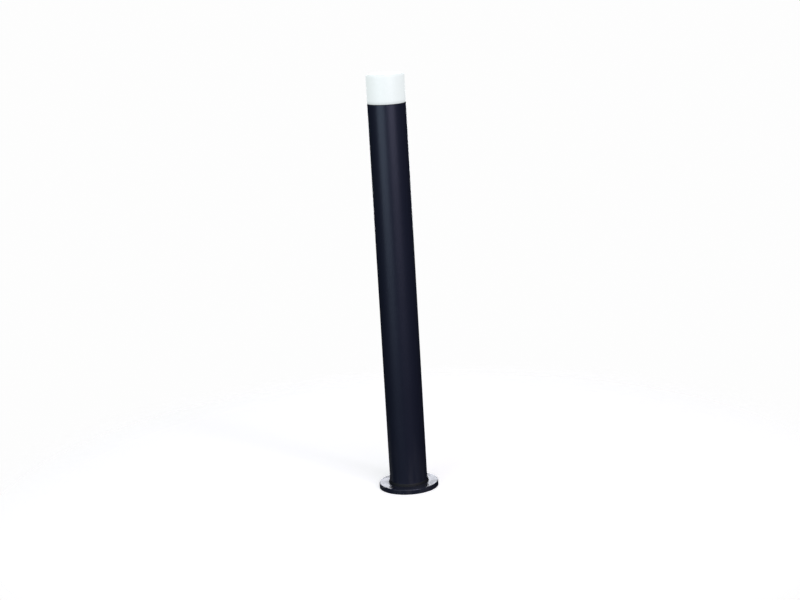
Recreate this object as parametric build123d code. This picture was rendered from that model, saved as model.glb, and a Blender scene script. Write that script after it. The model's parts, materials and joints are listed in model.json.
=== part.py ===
from build123d import *

import math
import os

# Retractable bollard with a lit crown. Millimetres, +Z up. The origin is on the post's axis at
# ground level, which is the underside of the ground flange. The front is -Y; the lock is at +Y.

# Sliding post and crown
POST_OD = 76.1
POST_WALL = 3.2
POST_ABOVE = 782.0         # top of the steel tube over the ground, raised
CROWN_HEIGHT = 58.0        # gasket and opal crown together
CROWN_GASKET = 1.0
CROWN_WALL = 3.0
CROWN_TOP_WALL = 3.5
CROWN_EDGE_RADIUS = 5.0
CROWN_INSET = 0.2          # the crown is this much inside the tube's outer surface
CROWN_SPIGOT = 14.0        # how far the crown reaches down into the tube
CROWN_SPIGOT_WALL = 3.2

# Ground flange and its seal
FLANGE_THICK = 10.0
FLANGE_OVERHANG = 2.85     # past the casing, resting on the paving
FLANGE_EDGE_RADIUS = 1.6
SEAL_LIP = 5.0             # lip over the flange; the lowered crown ends flush with it
SEAL_DEPTH = 7.0
SEAL_WALL = 2.7
SEAL_LIP_WALL = 1.8
SEAL_LIP_TIP = 1.0         # height of the lip's bevelled tip
SEAL_LIP_TAPER = 0.3
SEAL_LIP_BEVEL = 0.6
CASING_SEAT = 1.0          # groove under the flange that takes the casing's end

# In-ground casing
LOCK_SPACE = 15.5          # radial space between the post and the casing
CASING_WALL = 3.6
BASE_THICK = 8.0
BUFFER_HEIGHT = 20.0
BUFFER_RADIUS = 6.0
BUFFER_EDGE_RADIUS = 1.5
RAIL_WIDTH = 12.0
RAIL_DEPTH = 6.05
RAIL_BELOW_LUG = 4.0
RAIL_OVER_FLOOR = 6.0
LUG_HEIGHT = 16.0
LUG_DEPTH = 7.55
ANCHOR_REACH = 28.0
ANCHOR_THICK = 6.0
ANCHOR_HEIGHT = 40.0
ANCHOR_UPPER = 0.3         # share of the casing's depth
ANCHOR_LOWER = 0.75
DRAIN_RADIUS = 16.0
DRAIN_NECK_RADIUS = 15.0   # through the base plate
DRAIN_WALL = 2.5
DRAIN_TO_CASING = 2.0      # between the spigot's bore and the casing
DRAIN_LENGTH = 40.0        # below the base plate
CONDUIT_RADIUS = 10.0
CONDUIT_WALL = 2.0
CONDUIT_LENGTH = 25.0
CONDUIT_HEX = 27.0
CONDUIT_HEX_THICK = 6.0
CONDUIT_THREAD = 8.0
LOCKNUT_HEX = 22.0
LOCKNUT_THICK = 5.0
LOCKNUT_TO_CLEVIS = 1.3

# Guide housing under the flange
HOUSING_DEPTH = 115.0
BOTTOM_PLATE = 3.0
GUIDE_RING_WALL = 2.7
UPPER_RING_HEIGHT = 16.0
UPPER_RING_TOP = 8.0       # below the ground line
LOWER_RING_HEIGHT = 12.0
LOCK_TO_RING = 3.0         # wall left between the bolt's channel and the lower guide ring

# Guide shoe on the post's lower end
SHOE_LENGTH = 73.0
SHOE_COUNTERBORE = 4.0     # depth of the screw heads' pockets
UPSTOP_THICK = 8.0

# Lock: rack on the bolt, pinion on the key spindle
MODULE = 1.0
PINION_TEETH = 8
PINION_ADDENDUM = 0.9      # this and the tooth shapes below are in modules
PINION_DEDENDUM = 1.2
PINION_HALF_ROOT = 0.85
PINION_HALF_TIP = 0.26
RACK_TEETH = 3
RACK_ADDENDUM = 0.95
RACK_DEDENDUM = 1.25
RACK_HALF_THICK = 0.66
PRESSURE_ANGLE = 20.0
BOLT_HALF_WIDTH = 6.0      # to the rack's pitch line
BOLT_HALF_HEIGHT = 7.0
BOLT_NOSE_LENGTH = 5.8
BOLT_LENGTH = 14.4
BOLT_CHAMFER = 1.0
STRIKE_CLEARANCE = 0.5
SPINDLE_RADIUS = 3.0
JOURNAL_RADIUS = 2.7
SOCKET_RADIUS = 4.6
KEY_BORE = 3.5
SOCKET_LENGTH = 24.0
SOCKET_KEY_DEPTH = 13.0
SOCKET_BELOW_TOP = 1.0
KEY_SLOT = 2.0
KEY_SLOT_DEPTH = 4.0
DRIVE_PIN_RADIUS = 1.0
DRIVE_PIN_UP = 5.0         # over the socket's lower end

# Dirt cover over the key socket
COVER_THICK = 1.6
COVER_HALF_WIDTH = 6.0
COVER_EDGE_RADIUS = 0.4
COVER_PIVOT_TURN = 22.0    # degrees round the post from the socket to the pivot
COVER_PIVOT_OUT = 2.0      # how much farther out than the socket the pivot is
STUD_RADIUS = 1.5
STUD_HEIGHT = 1.4
STUD_EDGE_RADIUS = 0.5
PIVOT_HEAD_EDGE_RADIUS = 0.6
PIVOT_SLOT = 1.0
PIVOT_SLOT_TURN = 30.0
PIVOT_SCREW_DEPTH = 6.0    # into the flange

# Gas spring
CYLINDER_RADIUS = 14.0
CYLINDER_WALL = 1.5
ROD_RADIUS = 6.0
GLAND_LENGTH = 18.0
END_PLUG = 8.0
PISTON_LENGTH = 10.0
PISTON_GAP = 3.0
EYE_RADIUS = 9.0
EYE_THICK = 10.0
EYE_SPARE = 1.5            # room past the eye in a clevis
SHANK_RADIUS = 4.4
PIN_RADIUS = 4.0
PIN_HEAD = 2.0
PIN_HEAD_RIM = 1.5
PIN_NECK_RADIUS = 3.0      # the pin's tail, which takes the clip
PIN_TAIL = 2.0
PIN_OVER_FLOOR = 16.0
ROD_EYE_REACH = 26.0
CYLINDER_EYE_REACH = 20.0
ROD_NUT_HEX = 14.0
ROD_NUT_THICK = 7.0
CYLINDER_REST_GAP = 4.0
CHEEK_THICK = 4.0
CLEVIS_HALF_DEPTH = 10.0
CLEVIS_TIP = 3.0           # cheeks past the eye's rim
CLIP_RADIUS = 6.0
CLIP_THICK = 1.0

# Wiring
CABLE_RADIUS = 3.0
COIL_GAP = 3.0
COIL_OVER_FLOOR = 12.0
BRACKET_THICK = 8.0
BRACKET_TOP = 30.0         # below the ground line, raised
BRACKET_BORE_GAP = 1.0

# Head plug and lamp
PLUG_BELOW_TOP = 16.0
PLUG_HEIGHT = 20.0
BOARD_THICK = 1.6
BOARD_MARGIN = 5.35
CHIP_SIDE = 5.0
CHIP_THICK = 1.4
CHIP_COUNT = 8
CHIP_MARGIN = 12.5         # from the board's rim to the circle of chips
BOARD_SCREW_TURN = 90.0    # degrees from the crown's screws to the board's

# Fasteners
M6 = 3.0
M5 = 2.5
M4 = 2.0
M3 = 1.5
HEAD_FACTOR = 2.0          # countersunk head or counterbore radius over thread radius
SINK_RECESS = 1.2          # hexagon across flats over thread radius, countersunk screws
CAP_HEAD = 1.7             # cap head radius over thread radius
CAP_RECESS = 1.6           # hexagon across flats over thread radius, cap screws
GRUB_RECESS = 0.55         # recess radius over thread radius
CAP_HEAD_HEIGHT = 4.0
SCREW_CIRCLE_INSET = 4.05  # flange screws inside the casing's bore
FLANGE_SCREW_SHORT = 2.0   # the screws end this far above their lugs' undersides
GUIDE_SCREW_REACH = 5.0    # into the flange
PLATE_SCREW_LENGTH = 14.0
GRUB_LENGTH = 8.0
CROWN_GRUB_LENGTH = 6.0
BOARD_SCREW_LENGTH = 5.0
BOARD_SCREW_HEAD = 1.5
HOLE_SPARE = 1.0           # a blind hole past its screw's end

# Clearances
SLIDE_GAP = 0.3            # between sliding bodies
FIT_GAP = 0.05             # running fits
SLIP_GAP = 0.1             # assembled fits
STOP_GAP = 1.0             # left at each end of the stroke
LOOSE_GAP = 0.5
CUT = 1.0                  # how far a cut runs past the faces it opens

LUG_AZIMUTHS = (45, 135, 225, 315)
RAIL_AZIMUTHS = {"guide_rail_right": 45, "guide_rail_left": 225}
BUFFER_AZIMUTHS = (0, 135, 180, 315)
GUIDE_SCREW_AZIMUTHS = (0, 180, 270)
PLATE_SCREW_AZIMUTHS = (20, 200, 290)
SHOE_SCREW_AZIMUTHS = (0, 90, 180, 270)
CROWN_SCREW_AZIMUTHS = (0, 90, 180)
BRACKET_SCREW_AZIMUTHS = (90, 180, 270)

# Radii that follow
POST_R = POST_OD / 2
POST_IR = POST_R - POST_WALL
CASING_IR = POST_R + LOCK_SPACE
CASING_R = CASING_IR + CASING_WALL
FLANGE_R = CASING_R + FLANGE_OVERHANG
HOUSING_R = CASING_IR - SLIDE_GAP - FIT_GAP
HOUSING_BORE = POST_R + 4 * SLIDE_GAP
RING_IR = POST_R + SLIDE_GAP
RING_R = RING_IR + GUIDE_RING_WALL
SEAL_IR = POST_R + SLIDE_GAP
SEAL_R = SEAL_IR + SEAL_WALL
SCREW_CIRCLE = CASING_IR - SCREW_CIRCLE_INSET
MID_CIRCLE = (POST_R + CASING_IR) / 2
LUG_R = CASING_IR - LUG_DEPTH
RAIL_R = CASING_IR - RAIL_DEPTH
COIL_IR = CYLINDER_RADIUS + COIL_GAP
COIL_R = COIL_IR + 2 * CABLE_RADIUS
LAMP_CABLE_X = COIL_R + CABLE_RADIUS / 2
BOARD_R = POST_IR - BOARD_MARGIN
CHIP_CIRCLE = BOARD_R - CHIP_MARGIN
BOARD_SCREW_CIRCLE = BOARD_R - 2 * M3

# Heights that follow, with the post raised
CROWN_TOP = POST_ABOVE + CROWN_HEIGHT
LOWERED_TOP = FLANGE_THICK + SEAL_LIP
STROKE = CROWN_TOP - LOWERED_TOP
GUIDE_BOTTOM = -HOUSING_DEPTH - BOTTOM_PLATE
SHOE_TOP = GUIDE_BOTTOM - STOP_GAP - UPSTOP_THICK
POST_BOTTOM = SHOE_TOP - SHOE_LENGTH
FLOOR = POST_BOTTOM - STROKE - STOP_GAP - BUFFER_HEIGHT
BASE_BOTTOM = FLOOR - BASE_THICK
LOCK_Z = -(HOUSING_DEPTH - LOWER_RING_HEIGHT - LOCK_TO_RING - BOLT_HALF_HEIGHT)
LOWER_PIN_Z = FLOOR + PIN_OVER_FLOOR
ROD_BOTTOM = LOWER_PIN_Z + ROD_EYE_REACH
CYLINDER_BOTTOM = ROD_BOTTOM + CYLINDER_REST_GAP + STROKE
PISTON_BOTTOM = CYLINDER_BOTTOM + GLAND_LENGTH + PISTON_GAP
CYLINDER_TOP = PISTON_BOTTOM + PISTON_LENGTH + PISTON_GAP + STROKE + END_PLUG
UPPER_PIN_Z = CYLINDER_TOP + CYLINDER_EYE_REACH
PLUG_TOP = POST_ABOVE - PLUG_BELOW_TOP
PLUG_BOTTOM = PLUG_TOP - PLUG_HEIGHT
PLUG_MIDDLE = PLUG_TOP - PLUG_HEIGHT / 2
SHOE_MIDDLE = SHOE_TOP - SHOE_LENGTH / 2
BRACKET_MIDDLE = -BRACKET_TOP - BRACKET_THICK / 2
SCREW_LINE = POST_ABOVE - CROWN_SPIGOT / 2

# Lock places that follow
PITCH_R = MODULE * PINION_TEETH / 2
BOLT_TIP = POST_R + SLIDE_GAP + LOOSE_GAP
SPINDLE_X = BOLT_HALF_WIDTH + PITCH_R
SPINDLE_Y = BOLT_TIP + BOLT_NOSE_LENGTH + MODULE
SPINDLE_AZIMUTH = math.degrees(math.atan2(SPINDLE_Y, SPINDLE_X))
SPINDLE_CIRCLE = math.hypot(SPINDLE_X, SPINDLE_Y)
SOCKET_TOP = FLANGE_THICK - SOCKET_BELOW_TOP
SOCKET_BOTTOM = SOCKET_TOP - SOCKET_LENGTH
SPINDLE_TOP = SOCKET_TOP - SOCKET_KEY_DEPTH
DRIVE_PIN_Z = SOCKET_BOTTOM + DRIVE_PIN_UP
STRIKE_RADIUS = BOLT_HALF_WIDTH + STRIKE_CLEARANCE


def polar(radius, azimuth):
    angle = math.radians(azimuth)
    return radius * math.cos(angle), radius * math.sin(angle)


PIVOT_X, PIVOT_Y = polar(SPINDLE_CIRCLE + COVER_PIVOT_OUT, SPINDLE_AZIMUTH + COVER_PIVOT_TURN)


def disc(radius, bottom, top, x=0.0, y=0.0):
    """An upright cylinder between two heights."""
    return Pos(x, y, bottom) * extrude(Circle(radius), top - bottom)


def ring(outer, inner, bottom, top, x=0.0, y=0.0):
    """An upright tube between two heights, cut right through."""
    return disc(outer, bottom, top, x, y) - disc(inner, bottom - CUT, top + CUT, x, y)


def block(x0, x1, y0, y1, z0, z1):
    """A box between two corners."""
    return Pos((x0 + x1) / 2, (y0 + y1) / 2, (z0 + z1) / 2) * Box(x1 - x0, y1 - y0, z1 - z0)


def hexagon(across_flats, bottom, top, x=0.0, y=0.0):
    """An upright hexagonal prism."""
    corner = across_flats / math.sqrt(3)
    return Pos(x, y, bottom) * extrude(RegularPolygon(corner, 6), top - bottom)


def turned(*outline):
    """A solid turned about Z from a closed outline of (radius, height) corners."""
    wire = Polyline(*[(radius, 0, height) for radius, height in outline], close=True)
    return revolve(make_face(wire), Axis.Z)


def radial_bar(radius, azimuth, inner, outer, height):
    """A round bar that lies on a spoke of the post, between two distances from its axis."""
    bar = Pos(inner, 0, height) * Rot(0, 90, 0) * extrude(Circle(radius), outer - inner)
    return Rot(0, 0, azimuth) * bar


def cross_bar(radius, half_length, height):
    """A round bar along X, centred on the post's axis."""
    return Pos(-half_length, 0, height) * Rot(0, 90, 0) * extrude(Circle(radius), 2 * half_length)


def spoke_block(azimuth, inner, outer, width, bottom, top):
    """A rectangular block that lies on a spoke of the post."""
    return Rot(0, 0, azimuth) * block(inner, outer, -width / 2, width / 2, bottom, top)


def cut_notches(solid, inner, width, bottom, top):
    """Cuts the four notches that let a ring pass the lugs and rails of the casing."""
    for azimuth in LUG_AZIMUTHS:
        solid -= spoke_block(azimuth, inner, CASING_R, width, bottom - CUT, top + CUT)
    return solid


def countersunk_screw(thread, x, y, top, bottom):
    """A flat-headed screw pointing down, with a hexagon recess."""
    head = HEAD_FACTOR * thread
    cone = Pos(x, y, top) * turned((0, 0), (head, 0), (thread, thread - head), (0, thread - head))
    screw = cone + disc(thread, bottom, top - (head - thread), x, y)
    return screw - hexagon(SINK_RECESS * thread, top - thread, top + CUT, x, y)


def countersink(thread, x, y, top, bottom):
    """The hole that takes a countersunk screw."""
    head = HEAD_FACTOR * thread + SLIP_GAP
    cone = turned((0, CUT), (head, CUT), (head, 0), (thread, thread - head), (0, thread - head))
    return Pos(x, y, top) * cone + disc(thread + SLIP_GAP, bottom, top, x, y)


def cap_screw(thread, x, y, bottom, top, head_height):
    """A round-headed screw pointing up, its head at the bottom."""
    head = disc(CAP_HEAD * thread, bottom, bottom + head_height, x, y)
    head -= hexagon(CAP_RECESS * thread, bottom - CUT, bottom + head_height / 2, x, y)
    return head + disc(thread, bottom + head_height, top, x, y)


# Ground unit

def casing_tube():
    return ring(CASING_R, CASING_IR, FLOOR, CASING_SEAT)


DRAIN_BORE = DRAIN_RADIUS - DRAIN_WALL
DRAIN_Y = DRAIN_BORE + DRAIN_TO_CASING - CASING_IR
CONDUIT_Y = CLEVIS_HALF_DEPTH + LOCKNUT_HEX / math.sqrt(3) + LOCKNUT_TO_CLEVIS


def base_plate():
    plate = disc(CASING_R, BASE_BOTTOM, FLOOR)
    plate -= disc(DRAIN_NECK_RADIUS + FIT_GAP, BASE_BOTTOM - CUT, FLOOR + CUT, 0, DRAIN_Y)
    return plate - disc(CONDUIT_THREAD + FIT_GAP, BASE_BOTTOM - CUT, FLOOR + CUT, 0, CONDUIT_Y)


def drain_spigot():
    spigot = disc(DRAIN_RADIUS, BASE_BOTTOM - DRAIN_LENGTH, BASE_BOTTOM, 0, DRAIN_Y)
    spigot += disc(DRAIN_NECK_RADIUS, BASE_BOTTOM, FLOOR, 0, DRAIN_Y)
    return spigot - disc(DRAIN_BORE, BASE_BOTTOM - DRAIN_LENGTH - CUT, FLOOR + CUT, 0, DRAIN_Y)


def conduit_adaptor():
    hex_bottom = BASE_BOTTOM - CONDUIT_HEX_THICK
    spigot_bottom = hex_bottom - CONDUIT_LENGTH
    thread_top = FLOOR + LOCKNUT_THICK + STOP_GAP
    body = disc(CONDUIT_RADIUS, spigot_bottom, hex_bottom, 0, CONDUIT_Y)
    body += hexagon(CONDUIT_HEX, hex_bottom, BASE_BOTTOM, 0, CONDUIT_Y)
    body += disc(CONDUIT_THREAD, BASE_BOTTOM, thread_top, 0, CONDUIT_Y)
    body -= disc(CONDUIT_RADIUS - CONDUIT_WALL, spigot_bottom - CUT, hex_bottom, 0, CONDUIT_Y)
    thread_bore = CONDUIT_THREAD - CONDUIT_WALL
    return body - disc(thread_bore, hex_bottom - CUT, thread_top + CUT, 0, CONDUIT_Y)


def conduit_locknut():
    top = FLOOR + LOCKNUT_THICK
    nut = hexagon(LOCKNUT_HEX, FLOOR, top, 0, CONDUIT_Y)
    return nut - disc(CONDUIT_THREAD + FIT_GAP, FLOOR - CUT, top + CUT, 0, CONDUIT_Y)


def conduit_grommet():
    radius = CONDUIT_THREAD - CONDUIT_WALL - FIT_GAP
    return disc(radius, BASE_BOTTOM, FLOOR + LOCKNUT_THICK + STOP_GAP, 0, CONDUIT_Y)


def anchor_lugs():
    upper = FLOOR * ANCHOR_UPPER
    lower = FLOOR * ANCHOR_LOWER
    places = [(0, upper), (180, upper), (90, lower), (270, lower)]
    reach = CASING_R + ANCHOR_REACH
    inner = CASING_R - CUT
    lugs = [spoke_block(a, inner, reach, ANCHOR_THICK, z, z + ANCHOR_HEIGHT) for a, z in places]
    return [lug - disc(CASING_R, BASE_BOTTOM, 0) for lug in lugs]


def flange_lugs():
    lugs = []
    for azimuth in LUG_AZIMUTHS:
        x, y = polar(SCREW_CIRCLE, azimuth)
        lug = spoke_block(azimuth, LUG_R, CASING_R, RAIL_WIDTH, -LUG_HEIGHT, -SLIDE_GAP)
        lug = lug & disc(CASING_IR, -LUG_HEIGHT - CUT, 0)
        lugs.append(lug - disc(M6 + FIT_GAP, -LUG_HEIGHT - CUT, CUT, x, y))
    return lugs


def guide_rail(azimuth):
    top = -LUG_HEIGHT - RAIL_BELOW_LUG
    bottom = FLOOR + RAIL_OVER_FLOOR
    rail = spoke_block(azimuth, RAIL_R, CASING_R, RAIL_WIDTH, bottom, top)
    return rail & disc(CASING_IR, bottom, top)


def lowering_buffers():
    buffers = []
    for azimuth in BUFFER_AZIMUTHS:
        x, y = polar(MID_CIRCLE, azimuth)
        buffer = disc(BUFFER_RADIUS, FLOOR, FLOOR + BUFFER_HEIGHT, x, y)
        buffers.append(fillet(buffer.edges().group_by(Axis.Z)[-1], BUFFER_EDGE_RADIUS))
    return buffers


def ground_flange():
    flange = disc(FLANGE_R, 0, FLANGE_THICK)
    flange = fillet(flange.edges().group_by(Axis.Z)[-1], FLANGE_EDGE_RADIUS)
    open_top = FLANGE_THICK + CUT
    flange -= disc(POST_R + 3 * SLIDE_GAP, -CUT, open_top)
    flange -= disc(SEAL_R + FIT_GAP, FLANGE_THICK - SEAL_DEPTH, open_top)
    seat = ring(CASING_R + SLIDE_GAP, CASING_IR - SLIDE_GAP, -CUT, CASING_SEAT)
    flange -= seat & disc(FLANGE_R, -CUT, CASING_SEAT)
    for azimuth in LUG_AZIMUTHS:
        x, y = polar(SCREW_CIRCLE, azimuth)
        flange -= countersink(M6, x, y, FLANGE_THICK, -CUT)
    for azimuth in GUIDE_SCREW_AZIMUTHS:
        x, y = polar(MID_CIRCLE, azimuth)
        flange -= disc(M4 + FIT_GAP, -CUT, GUIDE_SCREW_REACH + HOLE_SPARE, x, y)
    flange -= disc(SOCKET_RADIUS + 2 * SLIP_GAP, -CUT, open_top, SPINDLE_X, SPINDLE_Y)
    pivot_bottom = FLANGE_THICK - PIVOT_SCREW_DEPTH - HOLE_SPARE
    return flange - disc(M4 + FIT_GAP, pivot_bottom, open_top, PIVOT_X, PIVOT_Y)


def flange_screws():
    places = [polar(SCREW_CIRCLE, azimuth) for azimuth in LUG_AZIMUTHS]
    top = FLANGE_THICK - SLIP_GAP
    return [countersunk_screw(M6, x, y, top, FLANGE_SCREW_SHORT - LUG_HEIGHT) for x, y in places]


def wiper_seal():
    bottom = FLANGE_THICK - SEAL_DEPTH
    lip = LOWERED_TOP
    relief = SEAL_IR + 2 * SLIDE_GAP
    neck = SEAL_IR + SEAL_LIP_WALL
    shoulder = neck - SEAL_LIP_TAPER
    return turned((relief, bottom), (SEAL_R, bottom), (SEAL_R, FLANGE_THICK), (neck, FLANGE_THICK),
                  (shoulder, lip - SEAL_LIP_TIP), (shoulder - SEAL_LIP_BEVEL, lip), (SEAL_IR, lip),
                  (SEAL_IR, FLANGE_THICK))


def guide_housing():
    housing = ring(HOUSING_R, HOUSING_BORE, -HOUSING_DEPTH, 0)
    ring_pocket = RING_R + FIT_GAP
    housing -= disc(ring_pocket, -UPPER_RING_TOP - UPPER_RING_HEIGHT, -UPPER_RING_TOP)
    open_bottom = -HOUSING_DEPTH - CUT
    housing -= disc(ring_pocket, open_bottom, -HOUSING_DEPTH + LOWER_RING_HEIGHT)
    housing = cut_notches(housing, LUG_R - LOOSE_GAP, RAIL_WIDTH + 2 * LOOSE_GAP, -HOUSING_DEPTH, 0)
    channel_top = LOCK_Z + BOLT_HALF_HEIGHT + SLIDE_GAP
    channel_right = BOLT_HALF_WIDTH + MODULE + SLIDE_GAP
    housing -= block(-BOLT_HALF_WIDTH - SLIDE_GAP, channel_right, HOUSING_BORE - CUT, CASING_R,
                     LOCK_Z - BOLT_HALF_HEIGHT - SLIDE_GAP, channel_top)
    pinion_bore = PITCH_R + MODULE + SLIDE_GAP
    housing -= disc(pinion_bore, open_bottom, channel_top, SPINDLE_X, SPINDLE_Y)
    housing -= disc(SPINDLE_RADIUS + SLIP_GAP, channel_top, CUT, SPINDLE_X, SPINDLE_Y)
    socket_floor = SOCKET_BOTTOM - SLIDE_GAP
    housing -= disc(SOCKET_RADIUS + 2 * SLIP_GAP, socket_floor, CUT, SPINDLE_X, SPINDLE_Y)
    for azimuth in GUIDE_SCREW_AZIMUTHS:
        x, y = polar(MID_CIRCLE, azimuth)
        housing -= disc(HEAD_FACTOR * M4, open_bottom, -LUG_HEIGHT, x, y)
        housing -= disc(M4 + SLIP_GAP, -LUG_HEIGHT, CUT, x, y)
    for azimuth in PLATE_SCREW_AZIMUTHS:
        x, y = polar(MID_CIRCLE, azimuth)
        hole_top = PLATE_SCREW_LENGTH + HOLE_SPARE - HOUSING_DEPTH
        housing -= disc(M4 + FIT_GAP, open_bottom, hole_top, x, y)
    return housing


def guide_ring(bottom, height):
    return ring(RING_R, RING_IR, bottom, bottom + height)


def guide_screws():
    places = [polar(MID_CIRCLE, azimuth) for azimuth in GUIDE_SCREW_AZIMUTHS]
    bottom = -LUG_HEIGHT - CAP_HEAD_HEIGHT
    return [cap_screw(M4, x, y, bottom, GUIDE_SCREW_REACH, CAP_HEAD_HEIGHT) for x, y in places]


def housing_bottom_plate():
    plate = ring(HOUSING_R, POST_R + 2 * LOOSE_GAP, GUIDE_BOTTOM, -HOUSING_DEPTH)
    notch = RAIL_WIDTH + 2 * LOOSE_GAP
    plate = cut_notches(plate, LUG_R - LOOSE_GAP, notch, GUIDE_BOTTOM, -HOUSING_DEPTH)
    journal = JOURNAL_RADIUS + SLIP_GAP
    plate -= disc(journal, GUIDE_BOTTOM - CUT, CUT - HOUSING_DEPTH, SPINDLE_X, SPINDLE_Y)
    for azimuth in PLATE_SCREW_AZIMUTHS:
        x, y = polar(MID_CIRCLE, azimuth)
        sink = countersink(M4, x, y, 0, -BOTTOM_PLATE - CUT)
        plate -= Pos(0, 0, GUIDE_BOTTOM) * mirror(sink, Plane.XY)
    return plate


def bottom_plate_screws():
    screws = []
    for azimuth in PLATE_SCREW_AZIMUTHS:
        x, y = polar(MID_CIRCLE, azimuth)
        screw = countersunk_screw(M4, x, y, -SLIP_GAP, -PLATE_SCREW_LENGTH)
        screws.append(Pos(0, 0, GUIDE_BOTTOM) * mirror(screw, Plane.XY))
    return screws


def cover_pivot_screw():
    shank_top = FLANGE_THICK + COVER_THICK + 2 * SLIDE_GAP
    screw = disc(M4, FLANGE_THICK - PIVOT_SCREW_DEPTH, shank_top, PIVOT_X, PIVOT_Y)
    rim = HEAD_FACTOR * M4
    head_top = shank_top + M4
    head = disc(rim, shank_top, head_top, PIVOT_X, PIVOT_Y)
    head = fillet(head.edges().group_by(Axis.Z)[-1], PIVOT_HEAD_EDGE_RADIUS)
    slot = block(-rim, rim, -PIVOT_SLOT / 2, PIVOT_SLOT / 2, head_top - M4 / 2, head_top + CUT)
    return screw + head - Pos(PIVOT_X, PIVOT_Y, 0) * Rot(0, 0, PIVOT_SLOT_TURN) * slot


def clevis(pin_z, root_z, slot_end):
    """Two cheeks joined at one end, cross-drilled for the pin. The root is below or above the pin."""
    half_width = EYE_THICK / 2 + SLIDE_GAP + CHEEK_THICK
    tip = pin_z + math.copysign(EYE_RADIUS + CLEVIS_TIP, pin_z - root_z)
    low, high = sorted((root_z, tip))
    body = block(-half_width, half_width, -CLEVIS_HALF_DEPTH, CLEVIS_HALF_DEPTH, low, high)
    slot_low, slot_high = sorted((slot_end, tip + math.copysign(CUT, pin_z - root_z)))
    gap = EYE_THICK / 2 + SLIDE_GAP
    depth = CLEVIS_HALF_DEPTH + CUT
    body -= block(-gap, gap, -depth, depth, slot_low, slot_high)
    return body - cross_bar(PIN_RADIUS + FIT_GAP, half_width + CUT, pin_z)


def clevis_pin(pin_z):
    half = EYE_THICK / 2 + SLIDE_GAP + CHEEK_THICK
    pin = cross_bar(PIN_RADIUS, half, pin_z)
    head = Rot(0, 90, 0) * extrude(Circle(PIN_RADIUS + PIN_HEAD_RIM), PIN_HEAD)
    tail = Rot(0, 90, 0) * extrude(Circle(PIN_NECK_RADIUS), PIN_TAIL + CLIP_THICK)
    return pin + Pos(-half - PIN_HEAD, 0, pin_z) * head + Pos(half, 0, pin_z) * tail


def pin_clip(pin_z):
    face = Circle(CLIP_RADIUS) - Circle(PIN_NECK_RADIUS)
    face -= Pos(0, CLIP_RADIUS) * Rectangle(PIN_RADIUS, 2 * CLIP_RADIUS)
    x = EYE_THICK / 2 + SLIDE_GAP + CHEEK_THICK + SLIP_GAP
    return Pos(x, 0, pin_z) * Rot(0, 90, 0) * extrude(face, CLIP_THICK)


def eye_end(pin_z, shank_end):
    """A flat eye for the pin with a round shank that ends at a height above or below it."""
    eye = cross_bar(EYE_RADIUS, EYE_THICK / 2, pin_z)
    low, high = sorted((pin_z, shank_end))
    shank = disc(SHANK_RADIUS, low, high)
    return eye + shank - cross_bar(PIN_RADIUS + FIT_GAP, EYE_THICK, pin_z)


def rod_eye():
    nut = hexagon(ROD_NUT_HEX, ROD_BOTTOM - ROD_NUT_THICK, ROD_BOTTOM)
    return eye_end(LOWER_PIN_Z, ROD_BOTTOM - ROD_NUT_THICK) + nut


def gas_spring_rod():
    return disc(ROD_RADIUS, ROD_BOTTOM, PISTON_BOTTOM + PISTON_LENGTH)


def gas_spring_piston():
    radius = CYLINDER_RADIUS - CYLINDER_WALL - FIT_GAP
    return ring(radius, ROD_RADIUS, PISTON_BOTTOM, PISTON_BOTTOM + PISTON_LENGTH)


def spiral_cable():
    """The envelope of the coiled lamp lead, stretched from the floor to the bracket on the post."""
    return ring(COIL_R, COIL_IR, FLOOR + COIL_OVER_FLOOR, -BRACKET_TOP - BRACKET_THICK - LOOSE_GAP)


# Sliding post

def wall_hole(radius, azimuth, height):
    """A round hole straight through the post's wall."""
    return radial_bar(radius, azimuth, POST_IR - CUT, POST_R + CUT, height)


def post_tube():
    tube = ring(POST_R, POST_IR, POST_BOTTOM, POST_ABOVE)
    for height in (LOCK_Z, LOCK_Z + STROKE):
        tube -= wall_hole(STRIKE_RADIUS, 90, height)
    for azimuth in CROWN_SCREW_AZIMUTHS:
        tube -= wall_hole(M4 + FIT_GAP, azimuth, SCREW_LINE)
        tube -= wall_hole(M5 + FIT_GAP, azimuth, PLUG_MIDDLE)
    for azimuth in SHOE_SCREW_AZIMUTHS:
        tube -= wall_hole(M5 + FIT_GAP, azimuth, SHOE_MIDDLE)
    for azimuth in BRACKET_SCREW_AZIMUTHS:
        tube -= wall_hole(M4 + FIT_GAP, azimuth, BRACKET_MIDDLE)
    return tube


def guide_shoe():
    shoe = ring(HOUSING_R, POST_R, POST_BOTTOM, SHOE_TOP)
    notch = RAIL_WIDTH + 2 * SLIDE_GAP
    shoe = cut_notches(shoe, LUG_R - LOOSE_GAP, notch, POST_BOTTOM, SHOE_TOP)
    outside = HOUSING_R + CUT
    pocket = HOUSING_R - SHOE_COUNTERBORE
    for azimuth in SHOE_SCREW_AZIMUTHS:
        shoe -= radial_bar(M5 + FIT_GAP, azimuth, POST_R - CUT, outside, SHOE_MIDDLE)
        shoe -= radial_bar(HEAD_FACTOR * M5, azimuth, pocket, outside, SHOE_MIDDLE)
    return shoe


def upstop_ring():
    stop = ring(HOUSING_R - 2 * LOOSE_GAP, POST_R + FIT_GAP, SHOE_TOP, SHOE_TOP + UPSTOP_THICK)
    notch = RAIL_WIDTH + 2 * SLIDE_GAP
    return cut_notches(stop, LUG_R - LOOSE_GAP, notch, SHOE_TOP, SHOE_TOP + UPSTOP_THICK)


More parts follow.
